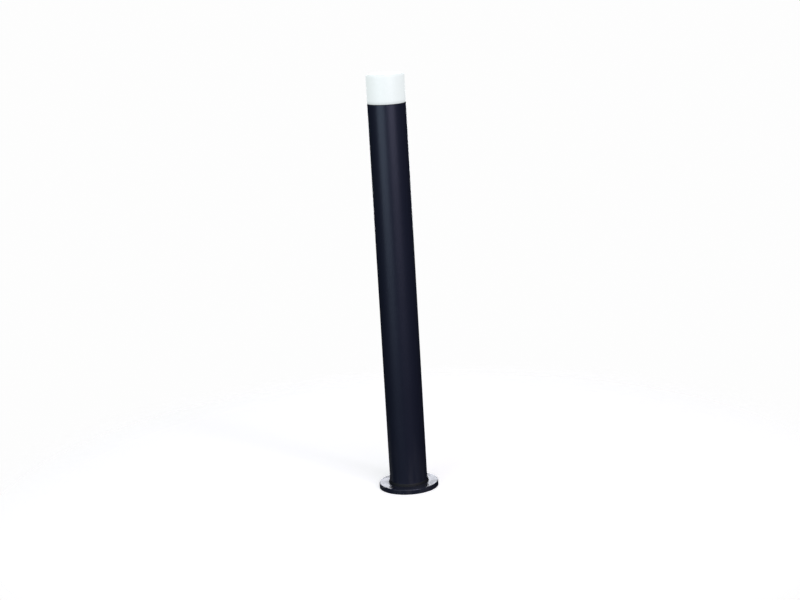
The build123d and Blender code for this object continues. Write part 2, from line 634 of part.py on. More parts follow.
def shoe_screws():
    pocket = HOUSING_R - SHOE_COUNTERBORE
    screws = []
    for azimuth in SHOE_SCREW_AZIMUTHS:
        screw = radial_bar(M5, azimuth, POST_IR, pocket, SHOE_MIDDLE)
        head = radial_bar(CAP_HEAD * M5, azimuth, pocket, HOUSING_R - 2 * LOOSE_GAP, SHOE_MIDDLE)
        screws.append(screw + head)
    return screws


def gas_spring_cylinder():
    return ring(CYLINDER_RADIUS, CYLINDER_RADIUS - CYLINDER_WALL, CYLINDER_BOTTOM, CYLINDER_TOP)


def gas_spring_gland():
    bottom = CYLINDER_BOTTOM
    return ring(CYLINDER_RADIUS - CYLINDER_WALL, ROD_RADIUS + FIT_GAP, bottom, bottom + GLAND_LENGTH)


def cylinder_eye():
    plug = disc(CYLINDER_RADIUS - CYLINDER_WALL, CYLINDER_TOP - END_PLUG, CYLINDER_TOP)
    return plug + eye_end(UPPER_PIN_Z, CYLINDER_TOP)


def head_plug():
    plug = disc(POST_IR - SLIDE_GAP, PLUG_BOTTOM, PLUG_TOP)
    slot_end = UPPER_PIN_Z + EYE_RADIUS + EYE_SPARE
    plug += clevis(UPPER_PIN_Z, PLUG_BOTTOM, min(slot_end, PLUG_BOTTOM))
    plug -= disc(CABLE_RADIUS + SLIDE_GAP, PLUG_BOTTOM - CUT, PLUG_TOP + CUT, LAMP_CABLE_X, 0)
    hole_end = POST_R - GRUB_LENGTH - HOLE_SPARE
    hole_bottom = PLUG_TOP - BOARD_SCREW_LENGTH - HOLE_SPARE
    for azimuth in CROWN_SCREW_AZIMUTHS:
        plug -= radial_bar(M5 + FIT_GAP, azimuth, hole_end, POST_R, PLUG_MIDDLE)
        x, y = polar(BOARD_SCREW_CIRCLE, azimuth + BOARD_SCREW_TURN)
        plug -= disc(M3 + FIT_GAP, hole_bottom, PLUG_TOP + CUT, x, y)
    return plug


def grub_screws(thread, length, height, azimuths):
    """Headless screws flush with the tube, pointing at its axis."""
    outer = POST_R - SLIP_GAP
    screws = []
    for azimuth in azimuths:
        screw = radial_bar(thread, azimuth, outer - length, outer, height)
        recess = radial_bar(GRUB_RECESS * thread, azimuth, outer - thread, outer + CUT, height)
        screws.append(screw - recess)
    return screws


def cable_bracket():
    low = -BRACKET_TOP - BRACKET_THICK
    bracket = ring(POST_IR - SLIDE_GAP, CYLINDER_RADIUS + BRACKET_BORE_GAP, low, -BRACKET_TOP)
    bracket -= disc(CABLE_RADIUS + SLIDE_GAP, low - CUT, CUT - BRACKET_TOP, LAMP_CABLE_X, 0)
    hole_end = POST_R - GRUB_LENGTH - HOLE_SPARE
    for azimuth in BRACKET_SCREW_AZIMUTHS:
        bracket -= radial_bar(M4 + FIT_GAP, azimuth, hole_end, POST_R, BRACKET_MIDDLE)
    return bracket


def lamp_cable():
    return disc(CABLE_RADIUS, -BRACKET_TOP - BRACKET_THICK, PLUG_TOP, LAMP_CABLE_X, 0)


def led_board():
    board = disc(BOARD_R, PLUG_TOP, PLUG_TOP + BOARD_THICK)
    for azimuth in CROWN_SCREW_AZIMUTHS:
        x, y = polar(BOARD_SCREW_CIRCLE, azimuth + BOARD_SCREW_TURN)
        board -= disc(M3 + SLIP_GAP, PLUG_TOP - CUT, PLUG_TOP + BOARD_THICK + CUT, x, y)
    return board


def led_chips():
    bottom = PLUG_TOP + BOARD_THICK
    half = CHIP_SIDE / 2
    chip = block(CHIP_CIRCLE - half, CHIP_CIRCLE + half, -half, half, bottom, bottom + CHIP_THICK)
    return [Rot(0, 0, 360 / CHIP_COUNT * i) * chip for i in range(CHIP_COUNT)]


def board_screws():
    bottom = PLUG_TOP - BOARD_SCREW_LENGTH
    seat = PLUG_TOP + BOARD_THICK
    screws = []
    for azimuth in CROWN_SCREW_AZIMUTHS:
        x, y = polar(BOARD_SCREW_CIRCLE, azimuth + BOARD_SCREW_TURN)
        head = disc(CAP_HEAD * M3, seat, seat + BOARD_SCREW_HEAD, x, y)
        screws.append(disc(M3, bottom, seat, x, y) + head)
    return screws


def crown_gasket():
    return ring(POST_R - CROWN_INSET, POST_IR, POST_ABOVE, POST_ABOVE + CROWN_GASKET)


def opal_crown():
    base = POST_ABOVE + CROWN_GASKET
    outer = POST_R - CROWN_INSET
    spigot = POST_IR - SLIDE_GAP
    spigot_bore = spigot - CROWN_SPIGOT_WALL
    foot = base + CROWN_WALL
    ceiling = CROWN_TOP - CROWN_TOP_WALL
    crown = turned((spigot_bore, POST_ABOVE - CROWN_SPIGOT), (spigot, POST_ABOVE - CROWN_SPIGOT),
                   (spigot, base), (outer, base), (outer, CROWN_TOP), (0, CROWN_TOP),
                   (0, ceiling), (outer - CROWN_WALL, ceiling), (outer - CROWN_WALL, foot),
                   (spigot_bore, foot))
    rim = crown.edges().filter_by(GeomType.CIRCLE).group_by(Axis.Z)[-1]
    crown = fillet(rim, CROWN_EDGE_RADIUS)
    for azimuth in CROWN_SCREW_AZIMUTHS:
        crown -= radial_bar(M4 + FIT_GAP, azimuth, spigot_bore - CUT, POST_R, SCREW_LINE)
    return crown


# Lock and dirt cover

def rack_tooth(centre_y, half_height):
    """One straight-sided tooth of the rack, standing out along +X."""
    root = BOLT_HALF_WIDTH - RACK_DEDENDUM * MODULE
    tip = BOLT_HALF_WIDTH + RACK_ADDENDUM * MODULE
    slope = math.tan(math.radians(PRESSURE_ANGLE))
    half_root = (RACK_HALF_THICK + RACK_DEDENDUM * slope) * MODULE
    half_tip = (RACK_HALF_THICK - RACK_ADDENDUM * slope) * MODULE
    back = root - CUT
    outline = Polyline((back, centre_y - half_root), (root, centre_y - half_root),
                       (tip, centre_y - half_tip), (tip, centre_y + half_tip),
                       (root, centre_y + half_root), (back, centre_y + half_root), close=True)
    return Pos(0, 0, LOCK_Z - half_height) * extrude(make_face(outline), 2 * half_height)


def locking_bolt():
    shoulder = BOLT_TIP + BOLT_NOSE_LENGTH
    tail = BOLT_TIP + BOLT_LENGTH
    root = BOLT_HALF_WIDTH - RACK_DEDENDUM * MODULE
    low, high = LOCK_Z - BOLT_HALF_HEIGHT, LOCK_Z + BOLT_HALF_HEIGHT
    nose = radial_bar(BOLT_HALF_WIDTH, 90, BOLT_TIP, shoulder, LOCK_Z)
    nose = chamfer(nose.edges().group_by(Axis.Y)[0], BOLT_CHAMFER)
    bar = block(-BOLT_HALF_WIDTH, root, shoulder, tail, low, high)
    for index in range(RACK_TEETH):
        centre = SPINDLE_Y + (index + 0.5) * math.pi * MODULE
        tooth = rack_tooth(centre, BOLT_HALF_HEIGHT)
        bar += tooth & block(0, SPINDLE_X, shoulder, tail, low, high)
    return (nose + bar) & disc(CASING_IR - SLIDE_GAP, low - CUT, high + CUT)


def pinion(bottom, top):
    """Straight-flanked teeth on a round core."""
    root = PITCH_R - PINION_DEDENDUM * MODULE
    tip = PITCH_R + PINION_ADDENDUM * MODULE
    half_root = PINION_HALF_ROOT * MODULE
    half_tip = PINION_HALF_TIP * MODULE
    outline = Polyline((0, -half_root), (root, -half_root), (tip, -half_tip), (tip, half_tip),
                       (root, half_root), (0, half_root), close=True)
    tooth = Pos(0, 0, bottom) * extrude(make_face(outline), top - bottom)
    gear = disc(root, bottom, top)
    for index in range(PINION_TEETH):
        gear += Rot(0, 0, 360 / PINION_TEETH * index) * tooth
    return gear


def key_spindle():
    teeth_bottom = LOCK_Z - BOLT_HALF_HEIGHT
    teeth_top = LOCK_Z + BOLT_HALF_HEIGHT
    collar_bottom = SLIDE_GAP - HOUSING_DEPTH
    shaft = pinion(teeth_bottom, teeth_top)
    shaft += disc(PITCH_R + PINION_ADDENDUM * MODULE, collar_bottom, teeth_bottom)
    shaft += disc(JOURNAL_RADIUS, GUIDE_BOTTOM + LOOSE_GAP, collar_bottom)
    shaft += disc(SPINDLE_RADIUS, teeth_top, SPINDLE_TOP)
    shaft -= cross_bar(DRIVE_PIN_RADIUS + FIT_GAP, SOCKET_RADIUS, DRIVE_PIN_Z)
    return Pos(SPINDLE_X, SPINDLE_Y, 0) * shaft


def key_socket():
    open_top = SOCKET_TOP + CUT
    socket = ring(SOCKET_RADIUS, SPINDLE_RADIUS + FIT_GAP, SOCKET_BOTTOM, SOCKET_TOP)
    socket -= disc(KEY_BORE, SPINDLE_TOP, open_top)
    half, reach = KEY_SLOT / 2, SOCKET_RADIUS + CUT
    socket -= block(-reach, reach, -half, half, SOCKET_TOP - KEY_SLOT_DEPTH, open_top)
    socket -= cross_bar(DRIVE_PIN_RADIUS + FIT_GAP, reach, DRIVE_PIN_Z)
    return Pos(SPINDLE_X, SPINDLE_Y, 0) * socket


def drive_pin():
    pin = cross_bar(DRIVE_PIN_RADIUS, SOCKET_RADIUS - SLIP_GAP, DRIVE_PIN_Z)
    return Pos(SPINDLE_X, SPINDLE_Y, 0) * pin


def key_cover():
    bottom = FLANGE_THICK + SLIDE_GAP
    reach_x, reach_y = SPINDLE_X - PIVOT_X, SPINDLE_Y - PIVOT_Y
    reach = math.hypot(reach_x, reach_y)
    turn = math.degrees(math.atan2(reach_y, reach_x))
    face = Pos(reach / 2, 0) * SlotCenterToCenter(reach, 2 * COVER_HALF_WIDTH)
    plate = extrude(face - Circle(M4 + SLIP_GAP), COVER_THICK)
    plate = fillet(plate.edges().group_by(Axis.Z)[-1], COVER_EDGE_RADIUS)
    stud = extrude(Circle(STUD_RADIUS), STUD_HEIGHT)
    stud = fillet(stud.edges().group_by(Axis.Z)[-1], STUD_EDGE_RADIUS)
    plate += Pos(reach + COVER_HALF_WIDTH / 2, 0, COVER_THICK) * stud
    return Pos(PIVOT_X, PIVOT_Y, bottom) * Rot(0, 0, turn) * plate


def all_nodes():
    """Every node of the bollard, by name: one solid, or a list of like solids."""
    nodes = {
        "casing_tube": casing_tube(),
        "base_plate": base_plate(),
        "drain_spigot": drain_spigot(),
        "conduit_adaptor": conduit_adaptor(),
        "conduit_locknut": conduit_locknut(),
        "conduit_grommet": conduit_grommet(),
        "anchor_lugs": anchor_lugs(),
        "flange_lugs": flange_lugs(),
        "lowering_buffers": lowering_buffers(),
        "ground_flange": ground_flange(),
        "flange_screws": flange_screws(),
        "wiper_seal": wiper_seal(),
        "guide_housing": guide_housing(),
        "upper_guide_ring": guide_ring(-UPPER_RING_TOP - UPPER_RING_HEIGHT, UPPER_RING_HEIGHT),
        "lower_guide_ring": guide_ring(-HOUSING_DEPTH, LOWER_RING_HEIGHT),
        "guide_screws": guide_screws(),
        "housing_bottom_plate": housing_bottom_plate(),
        "bottom_plate_screws": bottom_plate_screws(),
        "cover_pivot_screw": cover_pivot_screw(),
        "gas_spring_clevis": clevis(LOWER_PIN_Z, FLOOR, LOWER_PIN_Z - EYE_RADIUS - EYE_SPARE),
        "lower_pin": clevis_pin(LOWER_PIN_Z),
        "lower_pin_clip": pin_clip(LOWER_PIN_Z),
        "rod_eye": rod_eye(),
        "gas_spring_rod": gas_spring_rod(),
        "gas_spring_piston": gas_spring_piston(),
        "spiral_cable": spiral_cable(),
        "post_tube": post_tube(),
        "guide_shoe": guide_shoe(),
        "upstop_ring": upstop_ring(),
        "shoe_screws": shoe_screws(),
        "gas_spring_cylinder": gas_spring_cylinder(),
        "gas_spring_gland": gas_spring_gland(),
        "cylinder_eye": cylinder_eye(),
        "upper_pin": clevis_pin(UPPER_PIN_Z),
        "upper_pin_clip": pin_clip(UPPER_PIN_Z),
        "head_plug": head_plug(),
        "head_plug_screws": grub_screws(M5, GRUB_LENGTH, PLUG_MIDDLE, CROWN_SCREW_AZIMUTHS),
        "cable_bracket": cable_bracket(),
        "bracket_screws": grub_screws(M4, GRUB_LENGTH, BRACKET_MIDDLE, BRACKET_SCREW_AZIMUTHS),
        "lamp_cable": lamp_cable(),
        "led_board": led_board(),
        "led_chips": led_chips(),
        "board_screws": board_screws(),
        "crown_gasket": crown_gasket(),
        "opal_crown": opal_crown(),
        "crown_screws": grub_screws(M4, CROWN_GRUB_LENGTH, SCREW_LINE, CROWN_SCREW_AZIMUTHS),
        "locking_bolt": locking_bolt(),
        "key_spindle": key_spindle(),
        "key_socket": key_socket(),
        "drive_pin": drive_pin(),
        "key_cover": key_cover(),
    }
    for name, azimuth in RAIL_AZIMUTHS.items():
        nodes[name] = guide_rail(azimuth)
    return nodes


def save(name, shape):
    """Writes one node as a STEP file."""
    pieces = shape if isinstance(shape, list) else [shape]
    solids = [solid for piece in pieces for solid in piece.solids()]
    body = solids[0] if len(solids) == 1 else Compound(children=solids)
    export_step(body, f"parts/{name}.step")


os.makedirs("parts", exist_ok=True)
for node_name, node_shape in all_nodes().items():
    save(node_name, node_shape)
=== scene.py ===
import json
import math

import bpy
import numpy as np
from bpy.props import FloatProperty, FloatVectorProperty, IntProperty, PointerProperty
from mathutils import Matrix, Vector


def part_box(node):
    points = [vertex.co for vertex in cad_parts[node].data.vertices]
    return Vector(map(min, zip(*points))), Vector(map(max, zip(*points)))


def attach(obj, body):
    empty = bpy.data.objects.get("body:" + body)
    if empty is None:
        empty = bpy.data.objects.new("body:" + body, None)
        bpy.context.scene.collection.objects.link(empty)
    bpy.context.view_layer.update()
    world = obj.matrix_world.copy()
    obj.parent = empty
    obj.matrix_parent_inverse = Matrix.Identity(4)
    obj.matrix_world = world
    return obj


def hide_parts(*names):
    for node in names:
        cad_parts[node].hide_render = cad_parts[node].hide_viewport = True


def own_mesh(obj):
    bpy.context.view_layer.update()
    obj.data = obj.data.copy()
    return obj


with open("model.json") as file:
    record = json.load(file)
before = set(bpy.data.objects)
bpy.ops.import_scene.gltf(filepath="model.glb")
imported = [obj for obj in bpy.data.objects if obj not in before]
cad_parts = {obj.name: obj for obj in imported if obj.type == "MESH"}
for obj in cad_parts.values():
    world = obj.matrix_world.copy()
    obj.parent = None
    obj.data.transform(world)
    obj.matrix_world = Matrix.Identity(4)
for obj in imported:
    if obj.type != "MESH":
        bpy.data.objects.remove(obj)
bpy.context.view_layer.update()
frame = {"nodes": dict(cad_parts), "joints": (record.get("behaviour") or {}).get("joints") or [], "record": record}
NODES = frame["nodes"]
JOINTS = {joint["name"]: joint for joint in frame["joints"]}
SLOT_OF = {part["node"]: part["material_slot"] for part in frame["record"]["subparts"]}

bl_info = {
    "name": "Retractable bollard",
    "version": (1, 0, 0),
    "blender": (4, 5, 0),
    "location": "View3D > Sidebar > Bollard",
    "description": "Dresses the bollard's frame with finished surfaces, materials and a plain studio",
    "category": "Object",
}

MM = 0.001
TURN = 2 * math.pi
SHARP_ANGLE = math.radians(38)  # a steeper edge than this stays crisp

LEAD_SIDES = 12                 # faces round the lamp lead
LEAD_STEPS = 28                 # points to a turn of its coil
LEAD_END = 1.2                  # lead radii from the end of the coil's space to the lead's middle

BEAD_SIDES = 10                 # faces round a weld bead
RIPPLE_LENGTH = 4 * MM          # from one ripple of a weld bead to the next
RING_POINTS = 540               # along a bead that closes on itself
UPRIGHT_POINTS = 60             # along a bead up the casing
SPIGOT_BEAD = 0.8               # the width of the spigot's bead against the base plate's
LUG_BEAD = 0.75                 # and of the lugs' beads
LUG_COUNT = 4

FLOOR_GAP = 0.2 * MM            # from the casing to the hole in the floor
FLOOR_DROP = 0.05 * MM          # keeps the floor clear of the flange's underside
FLOOR_RINGS = 6
FLOOR_SIDES = 96
LOW_SPREAD = math.radians(72)   # the cone of the lights under the floor


class FinishSettings(bpy.types.PropertyGroup):
    """Colours and surface sizes of the bollard's finishes."""

    coat_colour: FloatVectorProperty(
        name="Coat colour", description="Powder coat on the post, the flange and the key cover",
        subtype="COLOR", size=3, min=0, max=1, default=(0.014, 0.017, 0.032))
    coat_roughness: FloatProperty(
        name="Coat roughness", description="How satin the powder coat is", min=0, max=1, default=0.34)
    peel_size: FloatProperty(
        name="Orange peel size", description="Width of the powder coat's slow ripples",
        subtype="DISTANCE", unit="LENGTH", default=1.6 * MM)
    opal_colour: FloatVectorProperty(
        name="Opal colour", description="Frosted crown", subtype="COLOR", size=3, min=0, max=1,
        default=(0.34, 0.363, 0.361))
    opal_glow: FloatProperty(
        name="Opal glow", description="Light given off by the crown", min=0, default=1.84)
    spangle_size: FloatProperty(
        name="Spangle size", description="Width of a zinc crystal on the galvanised casing",
        subtype="DISTANCE", unit="LENGTH", default=9 * MM)


class PieceSettings(bpy.types.PropertyGroup):
    """Sizes of the pieces that are made as smooth surfaces."""

    steps_round: IntProperty(
        name="Steps round", description="Faces round a turned piece", min=48, default=192)
    crown_wall: FloatProperty(
        name="Crown wall", description="Wall of the opal crown", subtype="DISTANCE", unit="LENGTH",
        default=3 * MM)
    crown_edge: FloatProperty(
        name="Crown edge radius", description="Rounding of the crown's top edge", subtype="DISTANCE",
        unit="LENGTH", default=4.6 * MM)
    crown_dome: FloatProperty(
        name="Crown dome", description="Rise of the crown's top at its middle", subtype="DISTANCE",
        unit="LENGTH", default=0.5 * MM)
    lead_turns: IntProperty(
        name="Lead turns", description="Turns of the coiled lamp lead", min=4, default=24)
    lead_radius: FloatProperty(
        name="Lead radius", description="Half the thickness of the lamp lead", subtype="DISTANCE",
        unit="LENGTH", default=3 * MM)
    bead_radius: FloatProperty(
        name="Weld bead radius", description="Half the width of the casing's weld beads",
        subtype="DISTANCE", unit="LENGTH", default=2.4 * MM)


class StageSettings(bpy.types.PropertyGroup):
    """Camera, floor and lights."""

    camera_distance: FloatProperty(
        name="Camera distance", description="From the post's axis, along the floor",
        subtype="DISTANCE", unit="LENGTH", default=3.525)
    camera_height: FloatProperty(
        name="Camera height", description="Over the floor", subtype="DISTANCE", unit="LENGTH",
        default=1.179)
    aim_height: FloatProperty(
        name="Aim height", description="Where the view's middle meets the post's axis",
        subtype="DISTANCE", unit="LENGTH", default=0.388)
    aim_side: FloatProperty(
        name="Aim to the side", description="How far right of the axis the camera looks",
        subtype="DISTANCE", unit="LENGTH", default=0.0037)
    camera_roll: FloatProperty(
        name="Camera roll", description="Turn of the view about its own axis", subtype="ANGLE",
        unit="ROTATION", default=math.radians(3.38))
    lens: FloatProperty(
        name="Lens", description="Focal length in millimetres", default=81.5)
    floor_radius: FloatProperty(
        name="Floor radius", description="Where the floor has faded out", subtype="DISTANCE",
        unit="LENGTH", default=1.0)
    floor_colour: FloatVectorProperty(
        name="Floor colour", description="Plain pale floor", subtype="COLOR", size=3, min=0, max=1,
        default=(0.93, 0.93, 0.93))


# Surfaces worked out as whole arrays

def rounded(corners, radii, steps):
    """An outline whose corners are replaced by arcs.

    At a corner the arc starts and ends where its circle touches the two sides: at the radius
    divided by the tangent of half the corner's angle from the corner. Between them it turns
    evenly about the circle's middle: (sin((1 - s) a) start + sin(s a) end) / sin a.
    """
    corners = np.asarray(corners, float)
    out = []
    for i, (corner, radius) in enumerate(zip(corners, radii)):
        if radius <= 0:
            out.append(corner[None])
            continue
        back = corners[i - 1] - corner
        ahead = corners[(i + 1) % len(corners)] - corner
        back, ahead = back / np.linalg.norm(back), ahead / np.linalg.norm(ahead)
        half = math.acos(np.clip(back @ ahead, -1, 1)) / 2
        middle = (back + ahead) / np.linalg.norm(back + ahead) * radius / math.sin(half)
        start = back * radius / math.tan(half) - middle
        end = ahead * radius / math.tan(half) - middle
        share = np.linspace(0, 1, steps + 1)[:, None]
        angle = math.pi - 2 * half
        arc = (np.sin((1 - share) * angle) * start + np.sin(share * angle) * end) / math.sin(angle)
        out.append(corner + middle + arc)
    return np.concatenate(out)


def grid_faces(rows, columns, close_rows, close_columns):
    """Quads of a grid of rows by columns, joined end to end in either direction where asked."""
    i = np.arange(rows if close_rows else rows - 1)[:, None]
    j = np.arange(columns if close_columns else columns - 1)[None]
    a, b = i * columns + j, i * columns + (j + 1) % columns
    c, d = ((i + 1) % rows) * columns + (j + 1) % columns, ((i + 1) % rows) * columns + j
    return np.stack([a, b, c, d], -1).reshape(-1, 4)


def turned(outline, steps):
    """A closed outline of (radius, height) turned about Z: x = r cos t, y = r sin t, z = h.

    A point of the outline that lies on the axis stays one point.
    """
    angle = np.linspace(0, TURN, steps, endpoint=False)
    radius, height = outline[:, 0][:, None], outline[:, 1][:, None]
    points = np.stack([radius * np.cos(angle), radius * np.sin(angle), height + 0 * angle], -1)
    index = np.arange(len(outline) * steps).reshape(-1, steps)
    on_axis = outline[:, 0] == 0
    index[on_axis] = index[on_axis, :1]
    return points.reshape(-1, 3), index.reshape(-1)[grid_faces(len(outline), steps, True, True)]


def tube_along(path, radius, steps, closed=False, level_to=(0, 0, 1.0)):
    """A round tube along a path: each ring is path + r (cos t side + sin t up).

    Side and up are square to the path's direction, and side is also square to one fixed
    direction, so the tube has no twist.
    """
    ahead = np.roll(path, -1, 0) - np.roll(path, 1, 0)
    if not closed:
        ahead[0], ahead[-1] = path[1] - path[0], path[-1] - path[-2]
    ahead /= np.linalg.norm(ahead, axis=1)[:, None]
    side = np.cross(ahead, level_to)
    side /= np.linalg.norm(side, axis=1)[:, None]
    up = np.cross(side, ahead)
    angle = np.linspace(0, TURN, steps, endpoint=False)[None, :, None]
    width = np.broadcast_to(np.asarray(radius, float), (len(path),))[:, None, None]
    points = path[:, None] + width * (np.cos(angle) * side[:, None] + np.sin(angle) * up[:, None])
    faces = grid_faces(len(path), steps, closed, True)
    points = points.reshape(-1, 3)
    if closed:
        return points, faces
    last = len(points)
    points = np.concatenate([points, path[:1], path[-1:]])
    ring = np.arange(steps)
    after = (ring + 1) % steps
    start = np.stack([ring, after, np.full(steps, last), np.full(steps, last)], -1)
    base = (len(path) - 1) * steps
    end = np.stack([base + after, base + ring, np.full(steps, last + 1), np.full(steps, last + 1)], -1)
    return points, np.concatenate([faces, start, end])


def joined(*shapes):
    """Several (points, faces) shapes as one."""
    offsets = np.cumsum([0] + [len(points) for points, _ in shapes[:-1]])
    points = np.concatenate([points for points, _ in shapes])
    return points, np.concatenate([faces + offset for (_, faces), offset in zip(shapes, offsets)])


def without_leftovers(points, faces):
    """The shape without faces that have closed up to an edge and points that no face uses."""
    closed_up = (faces[:, 0] == faces[:, 1]) & (faces[:, 2] == faces[:, 3])
    used, places = np.unique(faces[~closed_up], return_inverse=True)
    return points[used], places.reshape(-1, 4)


def enclosed(points, faces):
    """Six times the volume inside the faces: the sum of each triangle's triple product."""
    a, b, c, d = (points[faces[:, k]] for k in range(4))
    return np.sum(a * np.cross(b, c)) + np.sum(a * np.cross(c, d))


def split_by_corners(faces):
    """Rows of four corners as true quads, and as triangles where two neighbours are the same."""
    first_same, last_same = faces[:, 0] == faces[:, 1], faces[:, 2] == faces[:, 3]
    quads = faces[~first_same & ~last_same]
    triangles = np.concatenate([faces[last_same][:, :3], faces[first_same][:, 1:]])
    return quads.tolist() + triangles.tolist()


def add_piece(name, shape, body, surface, stands_for=()):
    """Makes one object of a closed shape, faces outwards, that rides on a body."""
    points, faces = without_leftovers(*shape)
    if enclosed(points, faces) < 0:
        faces = faces[:, ::-1]
    mesh = bpy.data.meshes.new(name)
    mesh.from_pydata(points.tolist(), [], split_by_corners(faces))
    if mesh.validate():
        raise RuntimeError(f"{name} has stray faces")
    mesh.shade_smooth()
    mesh.set_sharp_from_angle(angle=SHARP_ANGLE)
    mesh.materials.append(finish(surface))
    piece = bpy.data.objects.new(name, mesh)
    bpy.context.scene.collection.objects.link(piece)
    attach(piece, body)
    if stands_for:
        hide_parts(*stands_for)
    return piece


# Materials

# A Mix node has sockets of the same names for numbers and for colours, so these are by place.
MIX_FACTOR, MIX_FIRST, MIX_SECOND, MIX_RESULT = 0, 6, 7, 2


class Wire:
    """A socket that gives a value. Python's operators on it add Math nodes."""

    def __init__(self, nodes, socket):
        self.nodes, self.socket = nodes, socket

    def _math(self, operation, *values):
        return self.nodes.node("ShaderNodeMath", {"operation": operation}, dict(enumerate(values)))

    def __add__(self, other):
        return self._math("ADD", self, other)

    def __sub__(self, other):
        return self._math("SUBTRACT", self, other)

    def __rsub__(self, other):
        return self._math("SUBTRACT", other, self)

    def __mul__(self, other):
        return self._math("MULTIPLY", self, other)

    __radd__ = __add__
    __rmul__ = __mul__


class Nodes:
    """The nodes of a material or of the surroundings."""

    def __init__(self, tree):
        self.tree = tree

    def node(self, kind, settings, sockets, output=0):
        """Adds a node: its settings first, then the value or wire of each socket."""
        made = self.tree.nodes.new(kind)
        for key, value in settings.items():
            setattr(made, key, value)
        for key, value in sockets.items():
            self.feed(made.inputs[key], value)
        return Wire(self, made.outputs[output])

    def feed(self, socket, value):
        """Links a wire to a socket, or sets a constant on it."""
        if isinstance(value, Wire):
            self.tree.links.new(value.socket, socket)
        elif socket.type == "RGBA":
            socket.default_value = (*value[:3], 1)
        else:
            socket.default_value = value


class Coat(Nodes):
    """One material's nodes. Everything reads the piece's own Object coordinates."""

    def __init__(self, name):
        self.material = bpy.data.materials.new(name)
        self.material.use_nodes = True
        super().__init__(self.material.node_tree)
        self.shader = self.tree.nodes["Principled BSDF"]
        self.place = self.node("ShaderNodeTexCoord", {}, {}, output="Object")

    def noise(self, size, detail=2.0, place=None):
        """Soft noise from 0 to 1 whose lumps are about one size wide, in metres."""
        return self.node("ShaderNodeTexNoise", {}, {
            "Vector": place or self.place, "Scale": 0.5 / size, "Detail": detail})

    def stretched(self, x, y, z):
        """The piece's coordinates scaled along each axis, for brushed and streaked patterns."""
        return self.node("ShaderNodeMapping", {}, {"Vector": self.place, "Scale": (x, y, z)})

    def axis(self, index):
        """One of the piece's coordinates, in metres."""
        return self.node("ShaderNodeSeparateXYZ", {}, {"Vector": self.place}, output=index)

    def band(self, value, low, high):
        """0 below low, 1 above high, smooth between."""
        return self.node("ShaderNodeMapRange", {"interpolation_type": "SMOOTHSTEP"}, {
            "Value": value, "From Min": low, "From Max": high})

    def mix(self, factor, first, second):
        """A colour between two colours or wires."""
        sockets = {MIX_FACTOR: factor, MIX_FIRST: first, MIX_SECOND: second}
        return self.node("ShaderNodeMix", {"data_type": "RGBA"}, sockets, output=MIX_RESULT)

    def bump(self, height, distance, strength=1.0):
        """The normal of a height, where 1 stands for a distance in metres."""
        return self.node("ShaderNodeBump", {}, {
            "Height": height, "Distance": distance, "Strength": strength})

    def finish(self, **sockets):
        """Feeds the shader's sockets, named with _ for a space, and gives the material."""
        for key, value in sockets.items():
            self.feed(self.shader.inputs[key.replace("_", " ")], value)
        return self.material


def tint(colour, factor):
    """A colour made lighter or darker."""
    return tuple(min(1.0, channel * factor) for channel in colour)


def powder_coat():
    """Satin polyester powder: slow orange peel, a fine grain and a trace of dust at the foot."""
    settings = bpy.context.scene.bollard_finish
    base = tuple(settings.coat_colour)
    coat = Coat("powder_coat")
    peel = coat.noise(settings.peel_size, detail=1.5)
    grain = coat.noise(0.28 * MM, detail=1.0)
    cloud = coat.noise(70 * MM, detail=3.0)
    streak = coat.noise(9 * MM, detail=4.0, place=coat.stretched(1, 1, 0.12))
    foot = (1 - coat.band(coat.axis(2), 8 * MM, 120 * MM)) * coat.band(streak, 0.42, 0.78)
    colour = coat.mix(cloud, tint(base, 0.90), tint(base, 1.10))
    colour = coat.mix(grain * 0.10, colour, tint(base, 1.9))
    colour = coat.mix(foot * 0.10, colour, (0.22, 0.21, 0.19))
    rough = cloud * 0.05 + grain * 0.05 + foot * 0.12 + (settings.coat_roughness - 0.05)
    relief = peel + grain * 0.25
    return coat.finish(Base_Color=colour, Roughness=rough, Normal=coat.bump(relief, 0.035 * MM, 0.8),
                       Specular_IOR_Level=0.55, Specular_Tint=(0.76, 0.82, 1.0))


def opal():
    """Frosted acrylic, lit from inside: milky, with painted shade at its foot by the gasket, in its colour and its
    glow.
    """
    settings = bpy.context.scene.bollard_finish
    base = tuple(settings.opal_colour)
    foot = float(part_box("crown_gasket")[1][2])
    coat = Coat("opal_acrylic")
    frost = coat.noise(0.6 * MM, detail=2.0)
    milk = coat.noise(22 * MM, detail=2.0)
    # painted shade: colour and glow darken over the 7 mm above the gasket
    foot_shade = 1 - coat.band(coat.axis(2), foot, foot + 7 * MM)
    colour = coat.mix(milk * 0.35, base, tint(base, 1.06))
    colour = coat.mix(foot_shade * 0.30, colour, tint(base, 0.80))
    glow = coat.mix(foot_shade * 0.8, tint(base, 1.05), tint(base, 0.7))
    return coat.finish(Base_Color=colour, Roughness=frost * 0.10 + 0.38, Emission_Color=glow,
                       Emission_Strength=settings.opal_glow, Subsurface_Weight=0.25,
                       Subsurface_Radius=(0.006, 0.006, 0.006),
                       Normal=coat.bump(frost, 0.02 * MM, 0.5))


def rubber(name, base, roughness):
    """Moulded rubber: matt, with fine pits and a pale bloom."""
    coat = Coat(name)
    pits = coat.noise(0.5 * MM, detail=3.0)
    bloom = coat.noise(14 * MM, detail=4.0)
    colour = coat.mix(coat.band(bloom, 0.45, 0.8) * 0.35, base, tint(base, 2.2))
    return coat.finish(Base_Color=colour, Roughness=pits * 0.12 + bloom * 0.08 + roughness,
                       Normal=coat.bump(pits, 0.05 * MM, 0.7))


